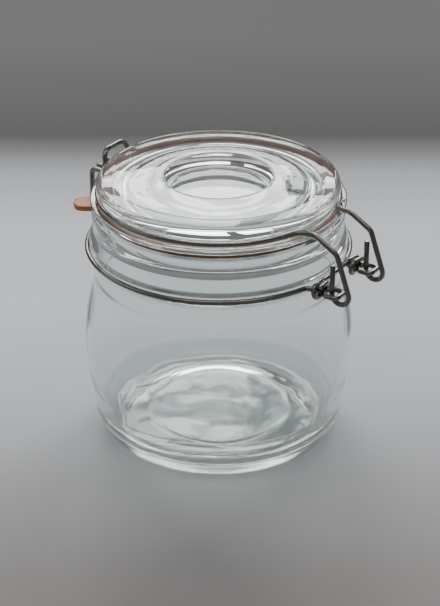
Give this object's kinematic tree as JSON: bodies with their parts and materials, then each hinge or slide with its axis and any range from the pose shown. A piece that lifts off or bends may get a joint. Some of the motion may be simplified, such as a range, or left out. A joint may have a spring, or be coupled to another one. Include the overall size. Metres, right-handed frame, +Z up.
{
  "type": "clip-top preserving jar",
  "caption": "Round glass preserving jar with a glass lid, an orange rubber ring and a bent-wire clip closure, hinge at the back and lever at the front.",
  "frame": {"origin": "on the surface that the jar stands on, below the middle of the whole object's width and depth at rest; the jar's own axis is 5.2 mm towards -X, because the hinge reaches further out than the latch", "axes": "+Z up along the jar's axis, +X from the latch at the front towards the hinge at the back, +Y along the hinge's axis"},
  "size_m": [0.1206, 0.1024, 0.1066],
  "materials": {
    "jar_glass": "clear",
    "lid_glass": "clear",
    "rubber": "matt",
    "steel_wire": "polished"
  },
  "bodies": {
    "jar": {"glass_jar": "jar_glass", "neck_wire": "steel_wire", "rear_wire": "steel_wire"},
    "lid": {"glass_lid": "lid_glass", "rubber_ring": "rubber", "lid_wire": "steel_wire"},
    "latch": {"latch_lever": "steel_wire"}
  },
  "joints": [
    {"name": "lid_hinge", "type": "hinge", "parent": "jar", "child": "lid", "pos_m": [0.0558, 0, 0.0775], "axis": [0, 1, 0], "range_deg": [0, 230]},
    {"name": "latch_pivot", "type": "hinge", "parent": "lid", "child": "latch", "pos_m": [-0.057, 0, 0.086], "axis": [0, -1, 0], "range_deg": [0, 158]}
  ]
}
